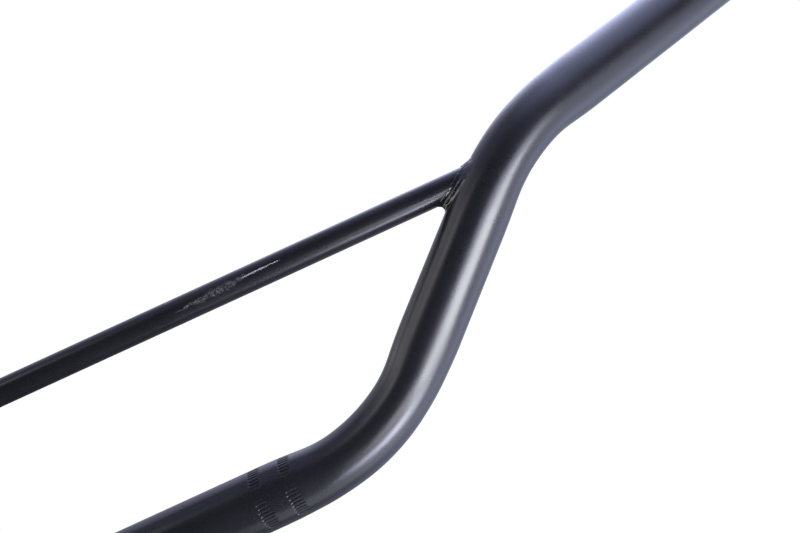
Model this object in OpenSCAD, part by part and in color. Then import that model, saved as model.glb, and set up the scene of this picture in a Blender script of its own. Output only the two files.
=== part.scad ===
// Scrambler handlebar: one bent tube with a welded crossbar.
// Millimetres. The origin is the middle of the clamp section, on its axis.
// +X runs along the clamp section, +Z points to the crossbar, +Y to the rider.

/* [Tube] */

// Outside diameter of the bent tube, which grips and clamps fit
tube_d = 22.2; // [22:0.1:28.6]
// Wall thickness of the bent tube
tube_wall = 2; // [1.5:0.1:4]
// Chamfer on the outer rim of each open end
rim_outer = 0.5; // [0.2:0.1:1]
// Chamfer on the inner rim of each open end
rim_inner = 0.4; // [0.2:0.1:0.8]
// Height of the faint ring, or depth of the faint groove, that the bending die leaves at a bend
die_ring = 0.05; // [0.02:0.01:0.1]
// Width of that ring or groove
die_ring_w = 0.4; // [0.2:0.1:1]

/* [Run of the tube] */

// Straight clamp section between the lower bends
clamp_len = 124; // [100:1:160]
// Centreline radius of each lower bend
low_clr = 71; // [50:1:90]
// Angle of each lower bend, and so the slope of the risers
low_angle = 43.5; // [30:0.5:60]
// Straight length of each riser
riser_len = 67.5; // [50:0.5:90]
// Centreline radius of each upper bend
up_clr = 76; // [50:1:90]
// Angle of each upper bend
up_angle = 32.8; // [20:0.1:50]
// Turn of each upper bend to the rear, seen along the riser
up_turn = 39.2; // [0:0.1:60]
// Straight length of each grip end
grip_len = 225; // [180:5:260]

/* [Crossbar] */

// Diameter of the crossbar rod
cross_d = 9.5; // [8:0.5:14]
// Height of the crossbar over the clamp section, axis to axis
cross_h = 72.8; // [60:0.2:90]

/* [Welds] */

// Leg of the weld fillet, out over the tube and along the rod
weld_leg = 4.6; // [3:0.1:7]
// Lip of the fillet's thin edge over the metal it runs out on
weld_lip = 0.2; // [0.1:0.05:0.4]
// Runs laid over each other that make up the fillet's hollow face
weld_runs = 6; // [3:1:8]

/* [Clamp grooves] */

// Length of each pressed groove
groove_len = 4.9; // [3:0.1:8]
// Width of each groove
groove_w = 0.6; // [0.4:0.05:1]
// Depth of each groove
groove_depth = 0.3; // [0.1:0.05:0.5]
// Rings of grooves at each clamp seat
ring_count = 2; // [1:1:3]
// Distance from one ring to the next
ring_pitch = 11.1; // [8:0.1:15]
// Distance from the lower bend to the middle of the nearest ring
ring_inset = 5.8; // [3:0.1:12]
// Groups of grooves around a ring, with a plain strip between groups
group_count = 4; // [2:1:6]
// Grooves in each group
group_grooves = 10; // [6:1:14]
// Angle from one groove to the next
groove_pitch = 7.2; // [6:0.1:10]
// Turn of the first plain strip, up from the front of the bar
strip_turn = 12.6; // [-45:0.1:45]

/* [Hidden] */

$fn = 200;
cut = 1;
black = [0.05, 0.05, 0.06];
weld_black = [0.09, 0.09, 0.1];

tube_r = tube_d / 2;
bore_r = tube_r - tube_wall;
cross_r = cross_d / 2;
die_lap = die_ring_w / 4;
grip_start = die_ring_w / 2;

// Foot of the right riser, and the middle of the tube at the rod's height
riser_foot_x = clamp_len / 2 + low_clr * sin(low_angle);
riser_foot_z = low_clr * (1 - cos(low_angle));
axis_x = riser_foot_x + (cross_h - riser_foot_z) / tan(low_angle);

// Both halves of the bar are alike
module both_sides() {
  children();
  mirror([1, 0, 0]) children();
}

// Straight length of tube along X
module straight(r, length) {
  rotate([0, 90, 0]) cylinder(h = length, r = r);
}

// Bend that starts along X and turns up to Z
module bend(r, clr, angle) {
  translate([0, 0, clr]) rotate([90, 0, 0]) rotate([0, 0, -90])
    rotate_extrude(angle = angle) translate([clr, 0]) circle(r = r);
}

// Carries children to the end of such a bend
module past_bend(clr, angle) {
  translate([0, 0, clr]) rotate([0, -angle, 0]) translate([0, 0, -clr]) children();
}

module at_low_bend() {
  translate([clamp_len / 2, 0, 0]) children();
}

module at_riser() {
  at_low_bend() past_bend(low_clr, low_angle) children();
}

module at_up_bend() {
  at_riser() translate([riser_len, 0, 0]) rotate([up_turn - 180, 0, 0]) children();
}

module at_grip() {
  at_up_bend() past_bend(up_clr, up_angle) children();
}

// Faint ring that the bending die leaves, which also joins the two lengths that end in it
module die_mark(r) {
  translate([-die_ring_w / 2, 0, 0]) straight(r + die_ring, die_ring_w);
}

// Faint groove at the start of a grip end, deeper towards the bend, so that nothing stands
// over the grip's seat
module die_groove(r) {
  translate([-grip_start, 0, 0]) rotate([0, 90, 0])
    cylinder(h = 2 * die_ring_w, r1 = r - 2 * die_ring, r2 = r - die_ring);
}

// Riser between the marks of the bends below and above it
module riser(r) {
  at_riser() {
    die_mark(r);
    translate([die_lap, 0, 0]) straight(r, riser_len - 2 * die_lap);
    translate([riser_len, 0, 0]) die_mark(r);
  }
}

module upper_bend(r) {
  at_up_bend() bend(r, up_clr, up_angle);
}

// Right half of the run from the clamp section to the start of the grip end
module half_run(r) {
  at_low_bend() bend(r, low_clr, low_angle);
  riser(r);
  upper_bend(r);
  at_grip() die_groove(r);
}

// Straight end that carries the grip and the controls
module grip_end() {
  at_grip() {
    translate([grip_start, 0, 0]) straight(tube_r, grip_len - rim_outer - grip_start);
    translate([grip_len - rim_outer, 0, 0]) rotate([0, 90, 0])
      cylinder(h = rim_outer, r1 = tube_r, r2 = tube_r - rim_outer);
  }
}

module grip_bore() {
  at_grip() {
    translate([grip_start, 0, 0]) straight(bore_r, grip_len + cut);
    translate([grip_len - rim_inner, 0, 0]) rotate([0, 90, 0])
      cylinder(h = rim_inner, r1 = bore_r, r2 = bore_r + rim_inner);
  }
}

// The part of the tube that the rod is coped to and the weld runs out on
module joint_body() {
  riser(tube_r);
  upper_bend(tube_r);
}

// One ring of pressed grooves, in groups with plain strips between them
module groove_ring() {
  group_turn = 360 / group_count;
  first = strip_turn + (group_turn - (group_grooves - 1) * groove_pitch) / 2;
  for (g = [0 : group_count - 1], i = [0 : group_grooves - 1])
    rotate([-(first + g * group_turn + i * groove_pitch), 0, 0])
      translate([0, -tube_r, 0])
        cube([groove_len, 2 * groove_depth, groove_w], center = true);
}

module clamp_grooves() {
  both_sides()
    for (i = [0 : ring_count - 1])
      translate([clamp_len / 2 - ring_inset - i * ring_pitch, 0, 0]) groove_ring();
}

module main_tube() {
  color(black)
    difference() {
      union() {
        translate([-clamp_len / 2, 0, 0]) straight(tube_r, clamp_len);
        both_sides() {
          half_run(tube_r);
          grip_end();
        }
      }
      union() {
        translate([-clamp_len / 2, 0, 0]) straight(bore_r, clamp_len);
        both_sides() {
          half_run(bore_r);
          grip_bore();
        }
      }
      clamp_grooves();
    }
}

// Rod with both ends coped to the tube
module crossbar() {
  color(black)
    difference() {
      translate([-axis_x, 0, cross_h]) straight(cross_r, 2 * axis_x);
      both_sides() joint_body();
    }
}

// Hollow-faced fillet all round the rod's end: each run reaches further over the tube
// than the last, and stands less far off its wall
module weld() {
  run_stop = 0.5;
  color(weld_black)
    difference() {
      for (i = [1 : weld_runs]) {
        turn = 90 * i / (weld_runs + 1);
        reach = weld_lip + weld_leg * (1 - cos(turn));
        stand = weld_lip + weld_leg * (1 - sin(turn));
        intersection() {
          translate([0, 0, cross_h]) straight(cross_r + reach, axis_x - run_stop * i);
          at_riser() straight(tube_r + stand, riser_len + tube_d);
        }
      }
      translate([0, 0, cross_h]) straight(cross_r, 2 * axis_x);
      joint_body();
    }
}

module weld_right() {
  weld();
}

module weld_left() {
  mirror([1, 0, 0]) weld();
}

main_tube();
crossbar();
weld_left();
weld_right();
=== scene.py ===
# %% [markdown]
# # A scrambler handlebar in satin black powder coat
# The bar is one steel tube, bent four times, with a thin rod welded across it.
# This lesson dresses the plain solids of the bar: the tube gets bends that are pressed a
# little flat and the short grooves at its clamp seats, the rod gets its scrape, and the
# welds get the uneven face that a torch leaves.

# %% Load the solids
import math
import random
import bpy
from mathutils import Matrix, Vector, noise
from mathutils.bvhtree import BVHTree


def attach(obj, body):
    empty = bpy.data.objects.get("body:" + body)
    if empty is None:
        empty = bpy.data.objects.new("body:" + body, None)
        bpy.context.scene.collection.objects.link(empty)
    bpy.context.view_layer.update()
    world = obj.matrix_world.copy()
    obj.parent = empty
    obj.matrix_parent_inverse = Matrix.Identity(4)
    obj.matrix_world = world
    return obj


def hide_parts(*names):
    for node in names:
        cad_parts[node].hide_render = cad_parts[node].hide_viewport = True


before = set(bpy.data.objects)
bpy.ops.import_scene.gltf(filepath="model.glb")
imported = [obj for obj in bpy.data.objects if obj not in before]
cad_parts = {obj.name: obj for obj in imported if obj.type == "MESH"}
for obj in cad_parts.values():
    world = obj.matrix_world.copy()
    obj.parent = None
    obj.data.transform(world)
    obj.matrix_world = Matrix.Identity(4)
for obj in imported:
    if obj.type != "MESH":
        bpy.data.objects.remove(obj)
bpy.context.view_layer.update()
MM = 0.001
print("solids:", sorted(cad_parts))

# %% [markdown]
# ## Where the photographer stood
# The picture is taken close to the bar, from a little below it, with the camera rolled to
# one side, so that the riser runs across the frame. A camera can be aimed with a tracking
# constraint or with its own matrix. The matrix is used here, because it also holds the roll.

# %% Camera
EYE = Vector((121.8, -433.5, -13.1)) * MM
LOOK = Vector((-0.0033, 0.9881, 0.1536)).normalized()
ROLL = math.radians(24.59)
SENSOR_WIDTH, FOCAL_LENGTH, NEAREST = 36.0, 56.25, 0.01


def camera_at(eye, look, roll):
    """Make the camera, with its long side turned by roll round the line of sight."""
    lens = bpy.data.cameras.new("studio_camera")
    lens.sensor_width, lens.lens, lens.clip_start = SENSOR_WIDTH, FOCAL_LENGTH, NEAREST
    camera = bpy.data.objects.new("studio_camera", lens)
    bpy.context.scene.collection.objects.link(camera)
    level = look.to_track_quat("-Z", "Y").to_matrix().to_4x4()
    camera.matrix_world = Matrix.Translation(eye) @ level @ Matrix.Rotation(-roll, 4, "Z")
    bpy.context.scene.camera = camera
    return camera


camera = camera_at(EYE, LOOK, ROLL)
print(camera.name, "looks along", [round(v, 3) for v in LOOK])

# %% [markdown]
# ## The run of the tube
# A tube bender sees a bar as a list: so much straight, a bend of that radius and angle, so
# much straight again. The same list drives the mesh. One function gives, for any length
# walked from the middle of the bar, the place of the tube's cross-section there. A curve
# object with a bevel would also sweep a tube, but it can't be pressed flat in its bends or
# grooved, so the mesh is laid out ring by ring.

# %% Sizes of the bar, in millimetres
TUBE_R, BORE_R, ROD_R = 11.1, 9.1, 4.75
CLAMP_HALF = 62.0
LOW_CLR, LOW_ANGLE = 71.0, math.radians(43.5)
RISER_LEN = 67.5
UP_CLR, UP_ANGLE, UP_TURN = 76.0, math.radians(32.8), math.radians(39.2 - 180)
GRIP_LEN = 225.0
ROD_Z = 72.8

LOW_START = CLAMP_HALF
LOW_END = LOW_START + LOW_CLR * LOW_ANGLE
UP_START = LOW_END + RISER_LEN
UP_END = UP_START + UP_CLR * UP_ANGLE
TIP = UP_END + GRIP_LEN
print("half of the tube, walked along its middle:", round(TIP, 1), "mm")


# %% Walk along the tube
def bend(radius, angle):
    """The move from the start of a bend to a point on it; it turns X up to Z."""
    centre = Matrix.Translation((0, 0, radius))
    return centre @ Matrix.Rotation(-angle, 4, "Y") @ centre.inverted()


def section_at(s):
    """Place of the cross-section at length s: X along the tube, -Y to its front."""
    place = Matrix.Translation((min(s, LOW_START), 0, 0))
    if s > LOW_START:
        place = place @ bend(LOW_CLR, min(s - LOW_START, LOW_END - LOW_START) / LOW_CLR)
    if s > LOW_END:
        place = place @ Matrix.Translation((min(s, UP_START) - LOW_END, 0, 0))
    if s > UP_START:
        turn = Matrix.Rotation(UP_TURN, 4, "X")
        angle = min(s - UP_START, UP_END - UP_START) / UP_CLR
        place = place @ turn @ bend(UP_CLR, angle) @ turn.inverted()
    if s > UP_END:
        place = place @ Matrix.Translation((s - UP_END, 0, 0))
    return place


print("grip end points along", [round(v, 3) for v in section_at(TIP).col[0][:3]])

# %% [markdown]
# ## Bends that are pressed a little flat
# A tube that is drawn round a die comes out a little oval: it loses some height towards the
# centre of the bend and gains a little sideways. That is easy to see along the outline of
# the real bar. The loss grows over the first millimetres of the bend and fades at its end.

# %% Ovality of the bends
FLAT_SHARE = 0.09
SPREAD_SHARE = 0.02
FLAT_LEAD = 13.0


def ease(low, high, value):
    """Soft step from 0 at low to 1 at high."""
    t = max(0.0, min(1.0, (value - low) / (high - low)))
    return t * t * (3 - 2 * t)


def pressed(s, y, z):
    """Move a point of the round section at s to where the bending die leaves it."""
    bends = ((LOW_START, LOW_END, 0.0), (UP_START, UP_END, UP_TURN))
    for start, end, turn in bends:
        share = ease(start - FLAT_LEAD, start + FLAT_LEAD, s)
        share *= 1 - ease(end - FLAT_LEAD, end + FLAT_LEAD, s)
        if share > 0:
            in_y, in_z = -math.sin(turn), math.cos(turn)
            inward, across = y * in_y + z * in_z, y * in_z - z * in_y
            inward *= 1 - FLAT_SHARE * share
            across *= 1 + SPREAD_SHARE * share
            y, z = inward * in_y + across * in_z, inward * in_z - across * in_y
    return y, z


def tube_point(s, turn, radius):
    """Point of the tube's skin: turn is measured from the front of the bar upwards."""
    y, z = pressed(s, -radius * math.cos(turn), radius * math.sin(turn))
    return section_at(s) @ Vector((0, y, z))


bend_middle = (LOW_START + LOW_END) / 2
print("tube in the middle of a lower bend:",
      round(2 * pressed(bend_middle, 0, TUBE_R)[1], 1), "mm high,",
      round(2 * pressed(bend_middle, TUBE_R, 0)[0], 1), "mm wide")

# %% [markdown]
# ## Grooves at the clamp seats
# Rings of short grooves are rolled into the tube where the stem clamps it, so that the bar
# can't turn. They are shallow, with soft ends, and the first and last of a group are
# fainter. A bump map could fake them, but they catch the light as real dents do only if the
# mesh has them, so each ring of grooves gets its own rows of points that follow every groove.

# %% Roll the grooves
GROOVE_LEN, GROOVE_W, GROOVE_DEPTH = 4.9, 0.6, 0.3
RING_INSET, RING_PITCH = 5.8, 11.1
RING_PLACES = (CLAMP_HALF - RING_INSET, CLAMP_HALF - RING_INSET - RING_PITCH)
GROUPS, GROUP_GROOVES, GROOVE_PITCH, STRIP_TURN = 4, 10, 7.2, 12.6
# How unevenly they are rolled: share of a faint one, then degrees, millimetres and shares
FAINT = 0.45
TURN_ERROR, PLACE_ERROR = 0.5, 0.2
HALF_LEN_ERRORS, DEPTH_SHARES = (-0.25, 0.05), (0.75, 1.0)


def groove_list(rng):
    """One ring of grooves: turn, middle, half length and depth of each, as rolled."""
    grooves = []
    lead = (360 / GROUPS - (GROUP_GROOVES - 1) * GROOVE_PITCH) / 2
    for group in range(GROUPS):
        for i in range(GROUP_GROOVES):
            turn = STRIP_TURN + group * 360 / GROUPS + lead + i * GROOVE_PITCH
            faint = FAINT if i in (0, GROUP_GROOVES - 1) else 1.0
            grooves.append((
                math.radians(turn + rng.uniform(-TURN_ERROR, TURN_ERROR)),
                rng.uniform(-PLACE_ERROR, PLACE_ERROR),
                GROOVE_LEN / 2 * (0.8 + 0.2 * faint) + rng.uniform(*HALF_LEN_ERRORS),
                GROOVE_DEPTH * faint * rng.uniform(*DEPTH_SHARES),
            ))
    return grooves


print("rings of grooves at", [round(place, 1) for place in RING_PLACES], "mm from the middle")

# %% Depth of the grooves
# Points across a groove, in halves of its width
GROOVE_SIDES = (-1.25, -0.8, -0.42, 0.0, 0.42, 0.8, 1.25)
POINT_GAP = math.radians(3.6)
GROOVE_FADE = 0.6


def half_turn(angle):
    """The same angle, between minus and plus half a turn."""
    return (angle + math.pi) % math.tau - math.pi


def groove_turns(grooves):
    """Turns of the points round such a ring: seven over each groove, and some between."""
    turns = []
    for i, (turn, *_) in enumerate(grooves):
        following = grooves[(i + 1) % len(grooves)][0] + (math.tau if i == len(grooves) - 1 else 0)
        turns += [turn + side * GROOVE_W / 2 / TUBE_R for side in GROOVE_SIDES]
        gap = following - turn
        steps = max(2, round(gap / POINT_GAP))
        turns += [turn + gap * k / steps for k in range(1, steps)]
    return turns


def groove_depth(grooves, along, turn):
    """Depth of the grooves at a point, along being measured from the ring's middle."""
    deepest = 0.0
    for middle_turn, middle, half, depth in grooves:
        off = half_turn(turn - middle_turn)
        across = abs(off) * TUBE_R / (GROOVE_W / 2 * GROOVE_SIDES[-1])
        if across < 1:
            end = 1 - ease(half - GROOVE_FADE, half, abs(along - middle))
            deepest = max(deepest, depth * end * math.cos(across * math.pi / 2) ** 2)
    return deepest


print("points round a grooved ring:", len(groove_turns(groove_list(random.Random(1)))))


# %% [markdown]
# ## Joining rings of points
# Plain stretches need about a hundred points round, a grooved ring needs three times as
# many. Two neighbouring rings are joined like a zip: the next face always takes the point
# that comes first round the tube, so the rings may have any number of points.

# %% Rings and zips
def even_turns(count):
    """Turns of evenly spaced points round a ring."""
    return [math.tau * k / count for k in range(count)]


PLAIN_TURNS = even_turns(96)
BORE_TURNS = even_turns(48)


class Skin:
    """Points and faces of a mesh that is laid out ring by ring."""

    def __init__(self):
        self.points, self.faces, self.last = [], [], None

    def ring(self, turns, place):
        """Add a ring of points, and join it to the one before."""
        start = len(self.points)
        self.points += [place(turn) for turn in turns]
        ring = list(zip(turns, range(start, start + len(turns))))
        if self.last:
            self.zip_up(self.last, ring)
        self.last = ring

    def zip_up(self, a, b):
        """Lay faces between two rings, each a list of (turn, number of the point)."""
        if [turn for turn, _ in a] == [turn for turn, _ in b]:
            for k in range(len(a)):
                n = (k + 1) % len(a)
                self.faces.append((a[k][1], b[k][1], b[n][1], a[n][1]))
            return
        first = a[0][0]
        shift = min(range(len(b)), key=lambda k: abs(half_turn(b[k][0] - first)))
        b = b[shift:] + [(turn + math.tau, v) for turn, v in b[:shift]]
        lap = round((first - b[0][0]) / math.tau) * math.tau
        b = [(turn + lap, v) for turn, v in b]
        a, b = a + [(a[0][0] + math.tau, a[0][1])], b + [(b[0][0] + math.tau, b[0][1])]
        i = j = 0
        while i < len(a) - 1 or j < len(b) - 1:
            if j == len(b) - 1 or (i < len(a) - 1 and a[i + 1][0] <= b[j + 1][0]):
                self.faces.append((a[i][1], b[j][1], a[i + 1][1]))
                i += 1
            else:
                self.faces.append((a[i][1], b[j][1], b[j + 1][1]))
                j += 1

    def make(self, name, body="root"):
        """Turn the rings into a smooth piece that rides on the bar."""
        mesh = bpy.data.meshes.new(name)
        mesh.from_pydata([Vector(p) * MM for p in self.points], [], self.faces)
        mesh.validate()
        mesh.polygons.foreach_set("use_smooth", [True] * len(mesh.polygons))
        piece = bpy.data.objects.new(name, mesh)
        bpy.context.scene.collection.objects.link(piece)
        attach(piece, body)
        print(name, len(mesh.vertices), "points,", len(mesh.polygons), "faces")
        return piece


print("points round the plain skin:", len(PLAIN_TURNS), "and round the bore:", len(BORE_TURNS))

# %% [markdown]
# ## The bent tube
# The skin starts at one open end, runs over the whole bar and turns back through the bore,
# so that the wall is seen where the tube is open. Bends get a ring every two millimetres,
# and straight stretches need few.

# %% Stations along the tube
RIM_OUT, RIM_IN = 0.5, 0.4
# Steps between rings, and stretches that are kept clear or laid closer
CLAMP_STEP, BEND_STEP, RISER_STEP, GRIP_STEP, TIP_STEP = 8, 2, 6, 12, 1.2
RING_HALF, RING_STEP, RING_CLEAR = 2.9, 0.3, 4
TIP_STRETCH, RIM_CLEAR = 4, 0.2


def spread(start, end, step):
    """Even places from start up to, but without, end."""
    count = max(1, round((end - start) / step))
    return [start + (end - start) * k / count for k in range(count)]


def plain_stations():
    """Places of the plain rings on one half of the bar, from the middle to the tip."""
    lead = FLAT_LEAD + 1
    stops = (
        (0, RING_PLACES[1] - RING_CLEAR, CLAMP_STEP),
        (CLAMP_HALF - BEND_STEP, LOW_END + lead, BEND_STEP),
        (LOW_END + lead, UP_START - lead, RISER_STEP),
        (UP_START - lead, UP_END + lead, BEND_STEP),
        (UP_END + lead, TIP - TIP_STRETCH, GRIP_STEP),
        (TIP - TIP_STRETCH, TIP - RIM_OUT - RIM_CLEAR, TIP_STEP),
    )
    return [s for start, end, step in stops for s in spread(start, end, step)]


def side_point(side, s, turn, radius):
    """Point on the right (side 1) or left (side -1) half of the bar."""
    point = tube_point(s, turn, radius)
    return Vector((side * point.x, point.y, point.z))


def grooved_stations(seed):
    """Rings of one clamp seat: place, grooves there, and their middle."""
    rng = random.Random(seed)
    stations = []
    for middle in sorted(RING_PLACES):
        grooves = groove_list(rng)
        steps = spread(-RING_HALF, RING_HALF, RING_STEP) + [RING_HALF]
        stations += [(middle + step, step, grooves) for step in steps]
    return stations


def outer_half(skin, side, seed):
    """Lay the outer skin of one half, from the middle to the tip or back."""
    rings = [(s, None, None) for s in plain_stations()] + grooved_stations(seed)
    rings.sort(key=lambda ring: ring[0], reverse=side < 0)
    for s, along, grooves in rings:
        if side < 0 and s == 0:
            continue
        if grooves:
            skin.ring(groove_turns(grooves), lambda turn: side_point(
                side, s, turn, TUBE_R - groove_depth(grooves, along, turn)))
        else:
            skin.ring(PLAIN_TURNS, lambda turn: side_point(side, s, turn, TUBE_R))


print("plain rings on one half:", len(plain_stations()))

# %% Sweep the tube
LEFT_SEED, RIGHT_SEED = 11, 29
BORE_CLEAR = 6


def bent_tube():
    """The whole tube, from its left rim over the skin and back through the bore."""
    skin = Skin()
    rim = [(TIP - RIM_OUT, TUBE_R), (TIP, TUBE_R - RIM_OUT),
           (TIP, BORE_R + RIM_IN), (TIP - RIM_IN, BORE_R)]
    for s, radius in rim[1::-1]:
        skin.ring(PLAIN_TURNS, lambda turn: side_point(-1, s, turn, radius))
    outer_half(skin, -1, LEFT_SEED)
    outer_half(skin, 1, RIGHT_SEED)
    for s, radius in rim:
        turns = PLAIN_TURNS if radius >= TUBE_R - RIM_OUT else BORE_TURNS
        skin.ring(turns, lambda turn: side_point(1, s, turn, radius))
    bore = [s for s in plain_stations() if s < TIP - BORE_CLEAR]
    for side, stations in ((1, bore[::-1]), (-1, bore[1:])):
        for s in stations:
            skin.ring(BORE_TURNS, lambda turn: side_point(side, s, turn, BORE_R))
    for s, radius in rim[:1:-1]:
        skin.ring(BORE_TURNS, lambda turn: side_point(-1, s, turn, radius))
    first = list(zip(PLAIN_TURNS, range(len(PLAIN_TURNS))))
    skin.zip_up(skin.last, first)
    return skin


tube_skin = bent_tube()
tube = tube_skin.make("bent_tube")
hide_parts("main_tube")

# %% [markdown]
# ## The crossbar rod
# The rod's ends are cut to the curve of the tube. A ray from each point of the rod's rim to
# the tube finds that curve, whatever the tube's bends do, and the same rays later carry
# the welds.

# %% Rays to the tube
tube_tree = BVHTree.FromPolygons(tube_skin.points, tube_skin.faces)
RAY_START = 100.0


def tube_hit(turn, radius):
    """Where a line along +X, at that turn and radius from the rod's axis, meets the tube."""
    start = Vector((RAY_START, -radius * math.cos(turn), ROD_Z + radius * math.sin(turn)))
    hit, *_ = tube_tree.ray_cast(start, Vector((1, 0, 0)))
    return hit


root = tube_hit(0.0, 0.1)
print("rod meets the tube at x =", round(root.x, 2), "mm")

# %% Rod
ROD_TURNS = even_turns(80)
ROD_HALF_RINGS, ROD_SINK = 40, 0.3


def crossbar_rod():
    """The rod from tube to tube, its ends following the tube's skin."""
    skin = Skin()
    reach = {turn: tube_hit(turn, ROD_R).x + ROD_SINK for turn in ROD_TURNS}
    for share in [k / ROD_HALF_RINGS for k in range(-ROD_HALF_RINGS, ROD_HALF_RINGS + 1)]:
        skin.ring(ROD_TURNS, lambda turn: Vector((
            share * reach[turn], -ROD_R * math.cos(turn), ROD_Z + ROD_R * math.sin(turn))))
    return skin


rod = crossbar_rod().make("crossbar_rod")
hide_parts("crossbar")

# %% [markdown]
# ## The welds
# A weld is a fillet of molten metal, hollow between the rod and the tube. Its edge on the
# rod stands up as a lip, and a second, shorter bead lies near the tube. Both catch the
# light as thin streaks, while the face between them stays dark. At each turn round the rod
# the fillet is a short curve from a toe on the rod to a toe on the tube. Noise along the
# turn makes toes and beads wander, as by hand.

# %% Toes of a weld
# Reach of each toe in millimetres, what it loses at the top, and how far it wanders; the one
# on the rod also reaches further at the front and rear
ROD_TOE, ROD_TOE_TOP, ROD_TOE_WANDER = 4.25, 1.25, 0.35
TUBE_TOE, TUBE_TOE_TOP, TUBE_TOE_WANDER = 2.5, 0.7, 0.3
ROD_TOE_FRONT = 0.45


def weld_toes(turn, wave):
    """Reach of the fillet along the rod and out over the tube; it is short at the top."""
    on_rod = ROD_TOE - ROD_TOE_TOP * math.sin(turn) + ROD_TOE_FRONT * math.cos(2 * turn)
    on_tube = TUBE_TOE - TUBE_TOE_TOP * math.sin(turn)
    rod_wander = ROD_TOE_WANDER * noise.noise(wave * 1.3)
    tube_wander = TUBE_TOE_WANDER * noise.noise(wave * 1.1 + Vector((9, 0, 0)))
    return on_rod + rod_wander, on_tube + tube_wander


print("a toe on the rod reaches about", ROD_TOE, "mm, and one on the tube", TUBE_TOE, "mm")

# %% Beads of a weld
ROD_LIP, SECOND_BEAD = 0.60, 0.60
# Start, crest and end of each bead across the fillet, from the rod (0) to the tube (1)
LIP_SPAN, SECOND_SPAN = (0.02, 0.09, 0.31), (0.44, 0.53, 0.76)
SPAN_WANDER = 0.04
# Middle and half width of each bead round the rod, in radians up from the front
LIP_PLACE, SECOND_PLACE = (-0.15, 1.3), (-0.8, 1.2)
ROUGH_PLACE, ROUGH_HEIGHT = (1.1, 0.8), 0.22
RIPPLES, RIPPLE_HEIGHT, RIPPLE_SLANT, RIPPLE_WANDER = 21, 0.025, 5, 50


def swell(value, middle, half):
    """Rounded hump: 1 at its middle, 0 at half a width from there and beyond."""
    return math.cos(min(1.0, abs(value - middle) / half) * math.pi / 2) ** 2


def bead(share, start, crest, end):
    """Bead across the fillet: a short rise to its crest, then a long flank down."""
    return max(0.0, min((share - start) / (crest - start), (end - share) / (end - crest)))


def weld_relief(lean, share, wave):
    """Height of the weld's beads over its hollow face; lean is the turn up from the front."""
    wander = SPAN_WANDER * noise.noise(wave * 1.7)
    lip = ROD_LIP * (0.85 + 0.5 * noise.noise(wave * 2.6))
    lip *= bead(share, *(place + wander for place in LIP_SPAN))
    lip *= 0.1 + 0.9 * swell(lean, *LIP_PLACE)
    second = SECOND_BEAD * bead(share, *(place - wander for place in SECOND_SPAN))
    second *= swell(lean, *SECOND_PLACE)
    second *= 0.8 + 0.8 * noise.noise(wave * 4.5 + Vector((0, 5, 0)))
    rough = ROUGH_HEIGHT * noise.noise(Vector((lean * 7.0, share * 5.0, wave.z)))
    rough *= swell(lean, *ROUGH_PLACE)
    slant = RIPPLE_SLANT * share
    ripple = RIPPLE_HEIGHT * math.cos(lean * RIPPLES + slant + RIPPLE_WANDER * wander)
    return lip + second + rough + ripple


print("beads up to about", ROD_LIP, "mm high, and", RIPPLES, "ripples round the rod")

# %% Lay the welds
HOLLOW = 0.5
WELD_STEPS = 32
WELD_TURNS = even_turns(240)
WAVE_RADIUS, SIDE_SHIFT = 2.2, 7.0
TOE_STEEPNESS, TOE_SINK = 8, 0.05


def weld_point(turn, share, side):
    """Point of the fillet: share 0 lies on the rod's toe and 1 on the tube's."""
    wave = Vector((math.cos(turn) * WAVE_RADIUS, math.sin(turn) * WAVE_RADIUS, side * SIDE_SHIFT))
    toe, out = weld_toes(turn, wave)
    outward = Vector((0, -math.cos(turn), math.sin(turn)))
    corner = tube_hit(turn, ROD_R)
    on_rod = corner - Vector((toe, 0, 0))
    on_tube = tube_hit(turn, ROD_R + out)
    knee = corner.lerp((on_rod + on_tube) / 2, HOLLOW)
    point = on_rod * (1 - share) ** 2 + knee * 2 * share * (1 - share) + on_tube * share ** 2
    slope = (on_tube - on_rod).normalized()
    lift = (outward - slope * outward.dot(slope)).normalized()
    ends = min(1.0, TOE_STEEPNESS * share, TOE_STEEPNESS * (1 - share))
    height = weld_relief(half_turn(turn), share, wave) * ends - TOE_SINK * (1 - ends)
    point = point + lift * height
    return Vector((side * point.x, point.y, point.z))


def weld_fillet(side):
    """The fillet on one side of the bar, as rings from the rod out to the tube."""
    skin = Skin()
    for k in range(WELD_STEPS + 1):
        share = k / WELD_STEPS
        skin.ring(WELD_TURNS, lambda turn: weld_point(turn, share, side))
    return skin


WELD_SIDES = ((1, "weld_fillet_right", "weld_right"), (-1, "weld_fillet_left", "weld_left"))
welds = []
for side, name, node in WELD_SIDES:
    weld = weld_fillet(side).make(name)
    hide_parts(node)
    welds.append(weld)

# %% [markdown]
# ## Powder coat, as a shared node group
# Powder coat melts into a skin that is never quite flat: it has a fine grain and, at a
# larger scale, the soft waves called orange peel. It is also a little duller in some places
# than in others. All the coated pieces share this, so it is one node group: it gives the
# height for a bump, a gloss mask and a tint mask, and each material takes its own shares.


# %% Node helpers
def new_node(tree, kind, **inputs):
    """Add a node and set its inputs, by their names."""
    made = tree.nodes.new(kind)
    for name, value in inputs.items():
        made.inputs[name].default_value = value
    return made


def maths(tree, operation, a, b=0.0, c=0.0):
    """A Math node whose inputs are numbers or the sockets of other nodes."""
    made = tree.nodes.new("ShaderNodeMath")
    made.operation = operation
    for socket, value in zip(made.inputs, (a, b, c)):
        if isinstance(value, bpy.types.NodeSocket):
            tree.links.new(value, socket)
        else:
            socket.default_value = value
    return made.outputs[0]


def smooth_range(tree, value, low, high, to_low=0.0, to_high=1.0):
    """A Map Range node with a soft step."""
    made = tree.nodes.new("ShaderNodeMapRange")
    made.interpolation_type = "SMOOTHSTEP"
    tree.links.new(value, made.inputs["Value"])
    limits = {"From Min": low, "From Max": high, "To Min": to_low, "To Max": to_high}
    for name, number in limits.items():
        made.inputs[name].default_value = number
    return made.outputs[0]


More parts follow.
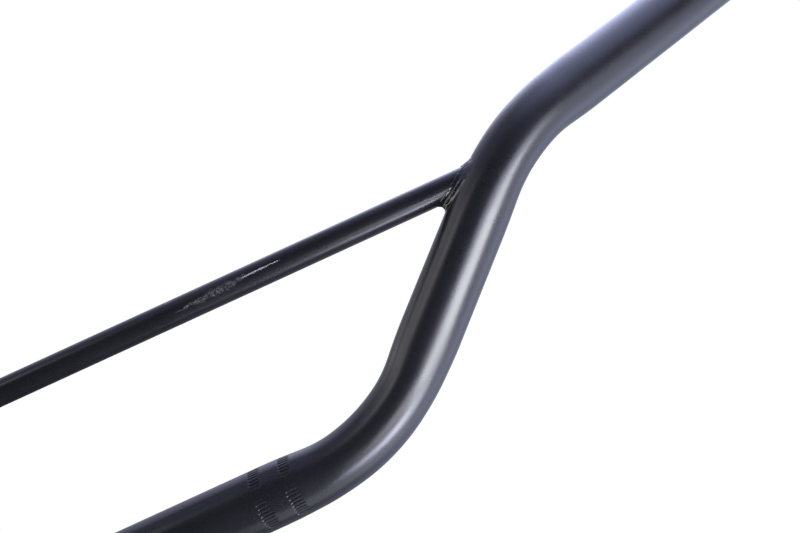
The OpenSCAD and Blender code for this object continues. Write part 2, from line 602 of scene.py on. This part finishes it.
print("helpers ready for nodes, sums and soft steps")

# %% Coat grain group
# Waves per metre, and detail, of the noise behind each effect
COAT_NOISES = (("grain", 2200.0, 2.0), ("waves", 700.0, 1.0), ("mottle", 60.0, 3.0))


def float_sockets(group, names, way):
    """Add named numbers to a node group, on its INPUT or its OUTPUT side."""
    return [group.interface.new_socket(name, in_out=way, socket_type="NodeSocketFloat")
            for name in names]


def coat_grain_group():
    """Node group: grain and waves of a powder coat, from the piece's own coordinates."""
    group = bpy.data.node_groups.new("powder_coat_grain", "ShaderNodeTree")
    for socket in float_sockets(group, ("Grain", "Waves"), "INPUT"):
        socket.default_value = 1.0
    float_sockets(group, ("Height", "Gloss mask", "Tint mask"), "OUTPUT")
    inside, outside = group.nodes.new("NodeGroupInput"), group.nodes.new("NodeGroupOutput")
    place = group.nodes.new("ShaderNodeTexCoord").outputs["Object"]
    value = {}
    for name, scale, detail in COAT_NOISES:
        texture = new_node(group, "ShaderNodeTexNoise", Scale=scale, Detail=detail, Roughness=0.55)
        group.links.new(place, texture.inputs["Vector"])
        value[name] = texture.outputs["Fac"]
    grain = maths(group, "MULTIPLY", value["grain"], inside.outputs["Grain"])
    waves = maths(group, "MULTIPLY", value["waves"], inside.outputs["Waves"])
    group.links.new(maths(group, "ADD", grain, waves), outside.inputs["Height"])
    group.links.new(smooth_range(group, value["mottle"], 0.3, 0.7), outside.inputs["Gloss mask"])
    group.links.new(smooth_range(group, value["grain"], 0.35, 0.65), outside.inputs["Tint mask"])
    print("group", group.name, "has", len(group.nodes), "nodes")
    return group


COAT_GRAIN = coat_grain_group()


# %% [markdown]
# ## The coats
# Under the grain the coat is a plain satin black, a little blue. Its shine comes from the
# shader and from the lights alone. The weld's coat has more waves, because the powder melts
# over rippled metal. It is also smoother and mirrors more strongly, which is chosen for the
# eye: it brings up the two thin streaks on the beads.

# %% Coat materials
COAT_RELIEF = 0.00002
# The two blacks, roughness where dull and where bright, grain, waves and strength of the bump
SATIN = ((0.006, 0.006, 0.0075), (0.009, 0.009, 0.011), 0.30, 0.26, 1.0, 0.6, 0.8)
OVER_WELD = ((0.005, 0.005, 0.007), (0.011, 0.011, 0.014), 0.25, 0.18, 1.0, 2.0, 0.8)


def coat_material(name, dark, light, dull, bright, grain, waves, bump, mirror=0.5):
    """A powder coat: two near blacks, a range of roughness, a bump, and how much it mirrors."""
    material = bpy.data.materials.new(name)
    material.use_nodes = True
    tree = material.node_tree
    shader = tree.nodes["Principled BSDF"]
    shader.inputs["Specular IOR Level"].default_value = mirror
    coat = tree.nodes.new("ShaderNodeGroup")
    coat.node_tree = COAT_GRAIN
    coat.inputs["Grain"].default_value, coat.inputs["Waves"].default_value = grain, waves
    tint = tree.nodes.new("ShaderNodeMix")
    tint.data_type = "RGBA"
    tint.inputs["A"].default_value, tint.inputs["B"].default_value = (*dark, 1), (*light, 1)
    tree.links.new(coat.outputs["Tint mask"], tint.inputs["Factor"])
    tree.links.new(tint.outputs["Result"], shader.inputs["Base Color"])
    gloss = smooth_range(tree, coat.outputs["Gloss mask"], 0.0, 1.0, dull, bright)
    tree.links.new(gloss, shader.inputs["Roughness"])
    relief = new_node(tree, "ShaderNodeBump", Strength=bump, Distance=COAT_RELIEF)
    tree.links.new(coat.outputs["Height"], relief.inputs["Height"])
    tree.links.new(relief.outputs["Normal"], shader.inputs["Normal"])
    return material, tree, shader, tint, relief


def give(piece, material):
    """Put a material on a piece."""
    piece.data.materials.clear()
    piece.data.materials.append(material)


satin_black, *_ = coat_material("satin_black_coat", *SATIN)
weld_black, *_ = coat_material("black_coat_over_weld", *OVER_WELD, mirror=0.9)
give(tube, satin_black)
for weld in welds:
    give(weld, weld_black)
print("coats:", satin_black.name, "and", weld_black.name)

# %% [markdown]
# ## The scrape on the rod
# Something hard has slid along the rod and broken the coat: a bright jagged line of bare
# steel, with finer broken marks before it. The rod is a plain cylinder, so the place of a
# point is known from its own coordinates: how far along, and how far round. The mask is
# drawn in those two lengths, in millimetres, and its edges are broken by noise.


# %% The rod's skin, unrolled
def rod_lengths(tree):
    """Place on the rod in millimetres: along it, round it, and both as one vector."""
    axes = tree.nodes.new("ShaderNodeSeparateXYZ")
    tree.links.new(tree.nodes.new("ShaderNodeTexCoord").outputs["Object"], axes.inputs[0])
    along = maths(tree, "DIVIDE", axes.outputs["X"], MM)
    up = maths(tree, "SUBTRACT", maths(tree, "DIVIDE", axes.outputs["Z"], MM), ROD_Z)
    front = maths(tree, "DIVIDE", axes.outputs["Y"], -MM)
    round_by = maths(tree, "MULTIPLY", maths(tree, "ARCTAN2", up, front), ROD_R)
    flat = tree.nodes.new("ShaderNodeCombineXYZ")
    tree.links.new(along, flat.inputs["X"])
    tree.links.new(round_by, flat.inputs["Y"])
    return along, round_by, flat.outputs[0]


def rod_noise(tree, place, **inputs):
    """Noise over the unrolled skin."""
    texture = new_node(tree, "ShaderNodeTexNoise", **inputs)
    tree.links.new(place, texture.inputs["Vector"])
    return texture.outputs["Fac"]


print("the rod's skin unrolls to", round(math.tau * ROD_R, 1), "mm across")


# %% Lines and squiggles
HAIR_SHIFT = (31.0, 17.0, 5.0)


def line_mask(tree, along, round_by, start, end, width):
    """Soft mask of a tapering line between two places, given as (along, round) in mm."""
    (a0, b0), (a1, b1) = start, end
    share = maths(tree, "DIVIDE", maths(tree, "SUBTRACT", along, a0), a1 - a0)
    middle = maths(tree, "MULTIPLY_ADD", share, b1 - b0, b0)
    off = maths(tree, "ABSOLUTE", maths(tree, "SUBTRACT", round_by, middle))
    swells, shrinks = smooth_range(tree, share, 0.0, 0.35), smooth_range(tree, share, 1.0, 0.7)
    taper = maths(tree, "MULTIPLY", swells, shrinks)
    half = maths(tree, "MAXIMUM", maths(tree, "MULTIPLY", taper, width), 0.001)
    inside = smooth_range(tree, maths(tree, "DIVIDE", off, half), 1.0, 0.45)
    return maths(tree, "MULTIPLY", inside, maths(tree, "GREATER_THAN", taper, 0.01))


def hair_lines(tree, flat, size, width):
    """Mask of thin broken squiggles: the places where a noise passes through its middle."""
    value = rod_noise(tree, flat, Scale=size, Detail=2.0, Roughness=0.6)
    off = maths(tree, "ABSOLUTE", maths(tree, "SUBTRACT", value, 0.5))
    shifted = tree.nodes.new("ShaderNodeVectorMath")
    shifted.inputs[1].default_value = HAIR_SHIFT
    tree.links.new(flat, shifted.inputs[0])
    gaps = rod_noise(tree, shifted.outputs[0], Scale=size * 0.8, Detail=1.0)
    whole = smooth_range(tree, gaps, 0.45, 0.55)
    return maths(tree, "MULTIPLY", smooth_range(tree, off, width, width * 0.4), whole)


def wandering(tree, round_by, value, swing):
    """The way round the rod, moved to and fro by a noise, up to swing millimetres."""
    return maths(tree, "ADD", round_by, maths(tree, "MULTIPLY_ADD", value, 2 * swing, -swing))


print("masks ready for lines and squiggles")


# %% Scrape mask
# Each mark as its start, end and width; a place is (along the rod, up round it from its front)
MAIN_LINE = ((67.0, 0.42), (83.5, 0.7), 0.26)
NICK = ((39.2, 4.2), (42.4, 4.6), 0.14)
SCUFFED_PATCH = ((41.0, -1.0), (75.5, 0.85), 1.35)
NICK_SHARE, SCUFF_SHARE = 0.5, 0.36
# Size and width of two kinds of fine squiggle
SQUIGGLES = ((1.5, 0.02), (2.8, 0.026))


def scrape_mask(tree):
    """Where the coat is broken: the main line, the nick, and a patch of fine scuffs."""
    along, round_by, flat = rod_lengths(tree)
    jag = rod_noise(tree, flat, Scale=1.5, Detail=5.0, Roughness=0.75)
    jagged = wandering(tree, round_by, jag, 1.0)
    main_line = line_mask(tree, along, jagged, *MAIN_LINE)
    nick = maths(tree, "MULTIPLY", line_mask(tree, along, jagged, *NICK), NICK_SHARE)
    fine = maths(tree, "MAXIMUM", *(hair_lines(tree, flat, *kind) for kind in SQUIGGLES))
    broad = rod_noise(tree, flat, Scale=0.35, Detail=3.0, Roughness=0.6)
    patch = line_mask(tree, along, wandering(tree, round_by, broad, 1.4), *SCUFFED_PATCH)
    scuffs = maths(tree, "MULTIPLY", maths(tree, "MULTIPLY", fine, patch), SCUFF_SHARE)
    return maths(tree, "MAXIMUM", main_line, maths(tree, "MAXIMUM", scuffs, nick))


print("the bright line is", MAIN_LINE[1][0] - MAIN_LINE[0][0], "mm long")


# %% Scraped rod
BARE_STEEL, BARE_METAL = (0.55, 0.55, 0.56, 1), 0.6
SCRAPE_DEPTH = 0.0001


def scraped_rod_material():
    """Satin black coat with the scrape cut through it."""
    material, tree, shader, tint, relief = coat_material("satin_black_coat_scraped", *SATIN)
    bare = scrape_mask(tree)
    steel = tree.nodes.new("ShaderNodeMix")
    steel.data_type = "RGBA"
    steel.inputs["B"].default_value = BARE_STEEL
    tree.links.new(bare, steel.inputs["Factor"])
    tree.links.new(tint.outputs["Result"], steel.inputs["A"])
    tree.links.new(steel.outputs["Result"], shader.inputs["Base Color"])
    tree.links.new(maths(tree, "MULTIPLY", bare, BARE_METAL), shader.inputs["Metallic"])
    dent = new_node(tree, "ShaderNodeBump", Strength=0.5, Distance=SCRAPE_DEPTH)
    dent.invert = True
    tree.links.new(bare, dent.inputs["Height"])
    tree.links.new(relief.outputs["Normal"], dent.inputs["Normal"])
    tree.links.new(dent.outputs["Normal"], shader.inputs["Normal"])
    print("scrape drawn with", len(tree.nodes), "nodes")
    return material


give(rod, scraped_rod_material())

# %% [markdown]
# ## The floor
# The bar hangs over a wide white floor that runs out of sight. The floor is there for the
# camera. It is kept out of the bar's reflections, because a glossy black tube would show
# it as a grey haze, and the real tube stays dark there.

# %% Floor
FLOOR_Z = -0.45
FLOOR_SIDES, FLOOR_RADII = 64, (0.4, 1.0, 2.4)
FLOOR_WHITE, FLOOR_ROUGHNESS = (0.9, 0.9, 0.9, 1), 0.9


def pale_floor():
    """A wide round floor in matt white, made of three bands round a middle point."""
    count = FLOOR_SIDES
    points = [Vector((0, 0, FLOOR_Z))]
    for radius in FLOOR_RADII:
        points += [Vector((radius * math.cos(turn), radius * math.sin(turn), FLOOR_Z))
                   for turn in even_turns(count)]
    faces = [(0, 1 + k, 1 + (k + 1) % count) for k in range(count)]
    for inner in (1, 1 + count):
        outer = inner + count
        faces += [(inner + k, outer + k, outer + (k + 1) % count, inner + (k + 1) % count)
                  for k in range(count)]
    mesh = bpy.data.meshes.new("studio_floor")
    mesh.from_pydata(points, [], faces)
    floor = bpy.data.objects.new("studio_floor", mesh)
    bpy.context.scene.collection.objects.link(floor)
    matt = bpy.data.materials.new("matt_white_floor")
    matt.use_nodes = True
    shader = matt.node_tree.nodes["Principled BSDF"]
    shader.inputs["Base Color"].default_value = FLOOR_WHITE
    shader.inputs["Roughness"].default_value = FLOOR_ROUGHNESS
    mesh.materials.append(matt)
    floor.visible_glossy = floor.visible_diffuse = floor.visible_shadow = False
    return floor


print(pale_floor().name, "is", 2 * FLOOR_RADII[-1], "m wide")

# %% [markdown]
# ## The soft boxes
# A black tube shows only what it mirrors, so lighting it means placing bright shapes where
# its skin mirrors them. The broad streak along the riser comes from two large soft boxes,
# low and to the right of the camera. Two more below them carry it down into the lower bend.
# A narrow one is there for the rod, one from below for the undersides, and a far one, high
# to the left, for the skin that faces that way.

# %% Lights
RISER_MIDDLE = Vector((0.135, 0, 0.043))
BOX_DISTANCE = 0.42


def toward(turn, height):
    """Direction from the bar, by degrees to the right of its front and degrees up."""
    turn, height = math.radians(turn), math.radians(height)
    level = math.cos(height)
    return Vector((math.sin(turn) * level, -math.cos(turn) * level, math.sin(height)))


def soft_box(name, turn, height, size, watts, colour, distance=BOX_DISTANCE):
    """A soft box that faces the riser, and that the camera itself doesn't see."""
    light = bpy.data.lights.new(name, "AREA")
    light.shape, light.size, light.size_y = "RECTANGLE", size[0], size[1]
    light.energy, light.color = watts, colour
    box = bpy.data.objects.new(name, light)
    bpy.context.scene.collection.objects.link(box)
    way = toward(turn, height)
    facing = (-way).to_track_quat("-Z", "Y").to_matrix().to_4x4()
    box.matrix_world = Matrix.Translation(RISER_MIDDLE + way * distance) @ facing
    box.visible_camera = False
    return box


# Name, degrees to the right and up, size in metres, watts, colour and, at the last, distance
SOFT_BOXES = (
    ("main_soft_box", 44, -30, (0.24, 0.22), 2.1, (0.98, 1.0, 0.99)),
    ("wide_soft_box", 38, -20, (0.28, 0.26), 1.5, (0.75, 0.77, 1.0)),
    ("low_front_box", 20, -62, (0.20, 0.12), 1.2, (0.75, 0.79, 1.0)),
    ("low_right_box", 50, -57, (0.22, 0.16), 1.1, (0.88, 0.90, 1.0)),
    ("rod_box", 7, -34, (0.08, 0.16), 0.34, (0.90, 0.88, 1.0)),
    ("under_box", 0, -86, (0.34, 0.26), 0.4, (0.85, 0.90, 1.0)),
    ("high_left_box", -46, 44, (0.28, 0.28), 0.6, (0.95, 0.93, 1.0), 1.1),
)
for box in SOFT_BOXES:
    soft_box(*box)
print("soft boxes:", [box[0] for box in SOFT_BOXES])

# %% [markdown]
# ## The studio round the bar
# The pale rims of the tube mirror the studio's bright walls at a flat angle. Each wall is a
# soft patch of light on the world, with a direction and a spread. The camera itself sees
# plain white, as a photographer's white sweep would give, and the plain view keeps it white.

# %% Surroundings
PATCH_SPREAD = math.cos(math.radians(50))
# Direction, colour and strength of each wall
WALLS = (
    ((1, 1, 1), (0.64, 0.68, 1.0), 4.6),
    ((1, 0, 1), (0.56, 0.62, 1.0), 3.4),
    ((-1, 0, 0.3), (1.0, 0.97, 1.0), 3.0),
    ((1, 0, -1), (0.71, 0.74, 1.0), 2.1),
    ((0, 1, 1), (0.75, 0.78, 1.0), 0.7),
    ((0.6, 1, -0.8), (0.72, 0.76, 1.0), 0.6),
    ((0, 0, 1), (0.60, 0.63, 1.0), 0.5),
    ((1, 1, -0.5), (0.60, 0.76, 1.0), 0.4),
)


def studio_world(walls):
    """White for the camera, and the bright walls for all that the bar mirrors."""
    world = bpy.data.worlds.new("studio_surroundings")
    bpy.context.scene.world = world
    world.use_nodes = True
    tree = world.node_tree
    tree.nodes.clear()
    way = tree.nodes.new("ShaderNodeTexCoord").outputs["Generated"]
    shine = new_node(tree, "ShaderNodeBackground", Color=(0, 0, 0, 1), Strength=0.0).outputs[0]
    for direction, colour, strength in walls:
        aim = tree.nodes.new("ShaderNodeVectorMath")
        aim.operation = "DOT_PRODUCT"
        aim.inputs[1].default_value = Vector(direction).normalized()
        tree.links.new(way, aim.inputs[0])
        wall = new_node(tree, "ShaderNodeBackground", Color=(*colour, 1))
        amount = smooth_range(tree, aim.outputs["Value"], PATCH_SPREAD, 1.0, 0.0, strength)
        tree.links.new(amount, wall.inputs["Strength"])
        both = tree.nodes.new("ShaderNodeAddShader")
        tree.links.new(shine, both.inputs[0])
        tree.links.new(wall.outputs[0], both.inputs[1])
        shine = both.outputs[0]
    sweep = new_node(tree, "ShaderNodeBackground", Color=(1, 1, 1, 1), Strength=1.0)
    pick = tree.nodes.new("ShaderNodeMixShader")
    tree.links.new(tree.nodes.new("ShaderNodeLightPath").outputs["Is Camera Ray"], pick.inputs[0])
    tree.links.new(shine, pick.inputs[1])
    tree.links.new(sweep.outputs[0], pick.inputs[2])
    tree.links.new(pick.outputs[0], tree.nodes.new("ShaderNodeOutputWorld").inputs["Surface"])
    return world


studio_world(WALLS)
bpy.context.scene.view_settings.view_transform = "Standard"
print("bright walls:", len(WALLS))
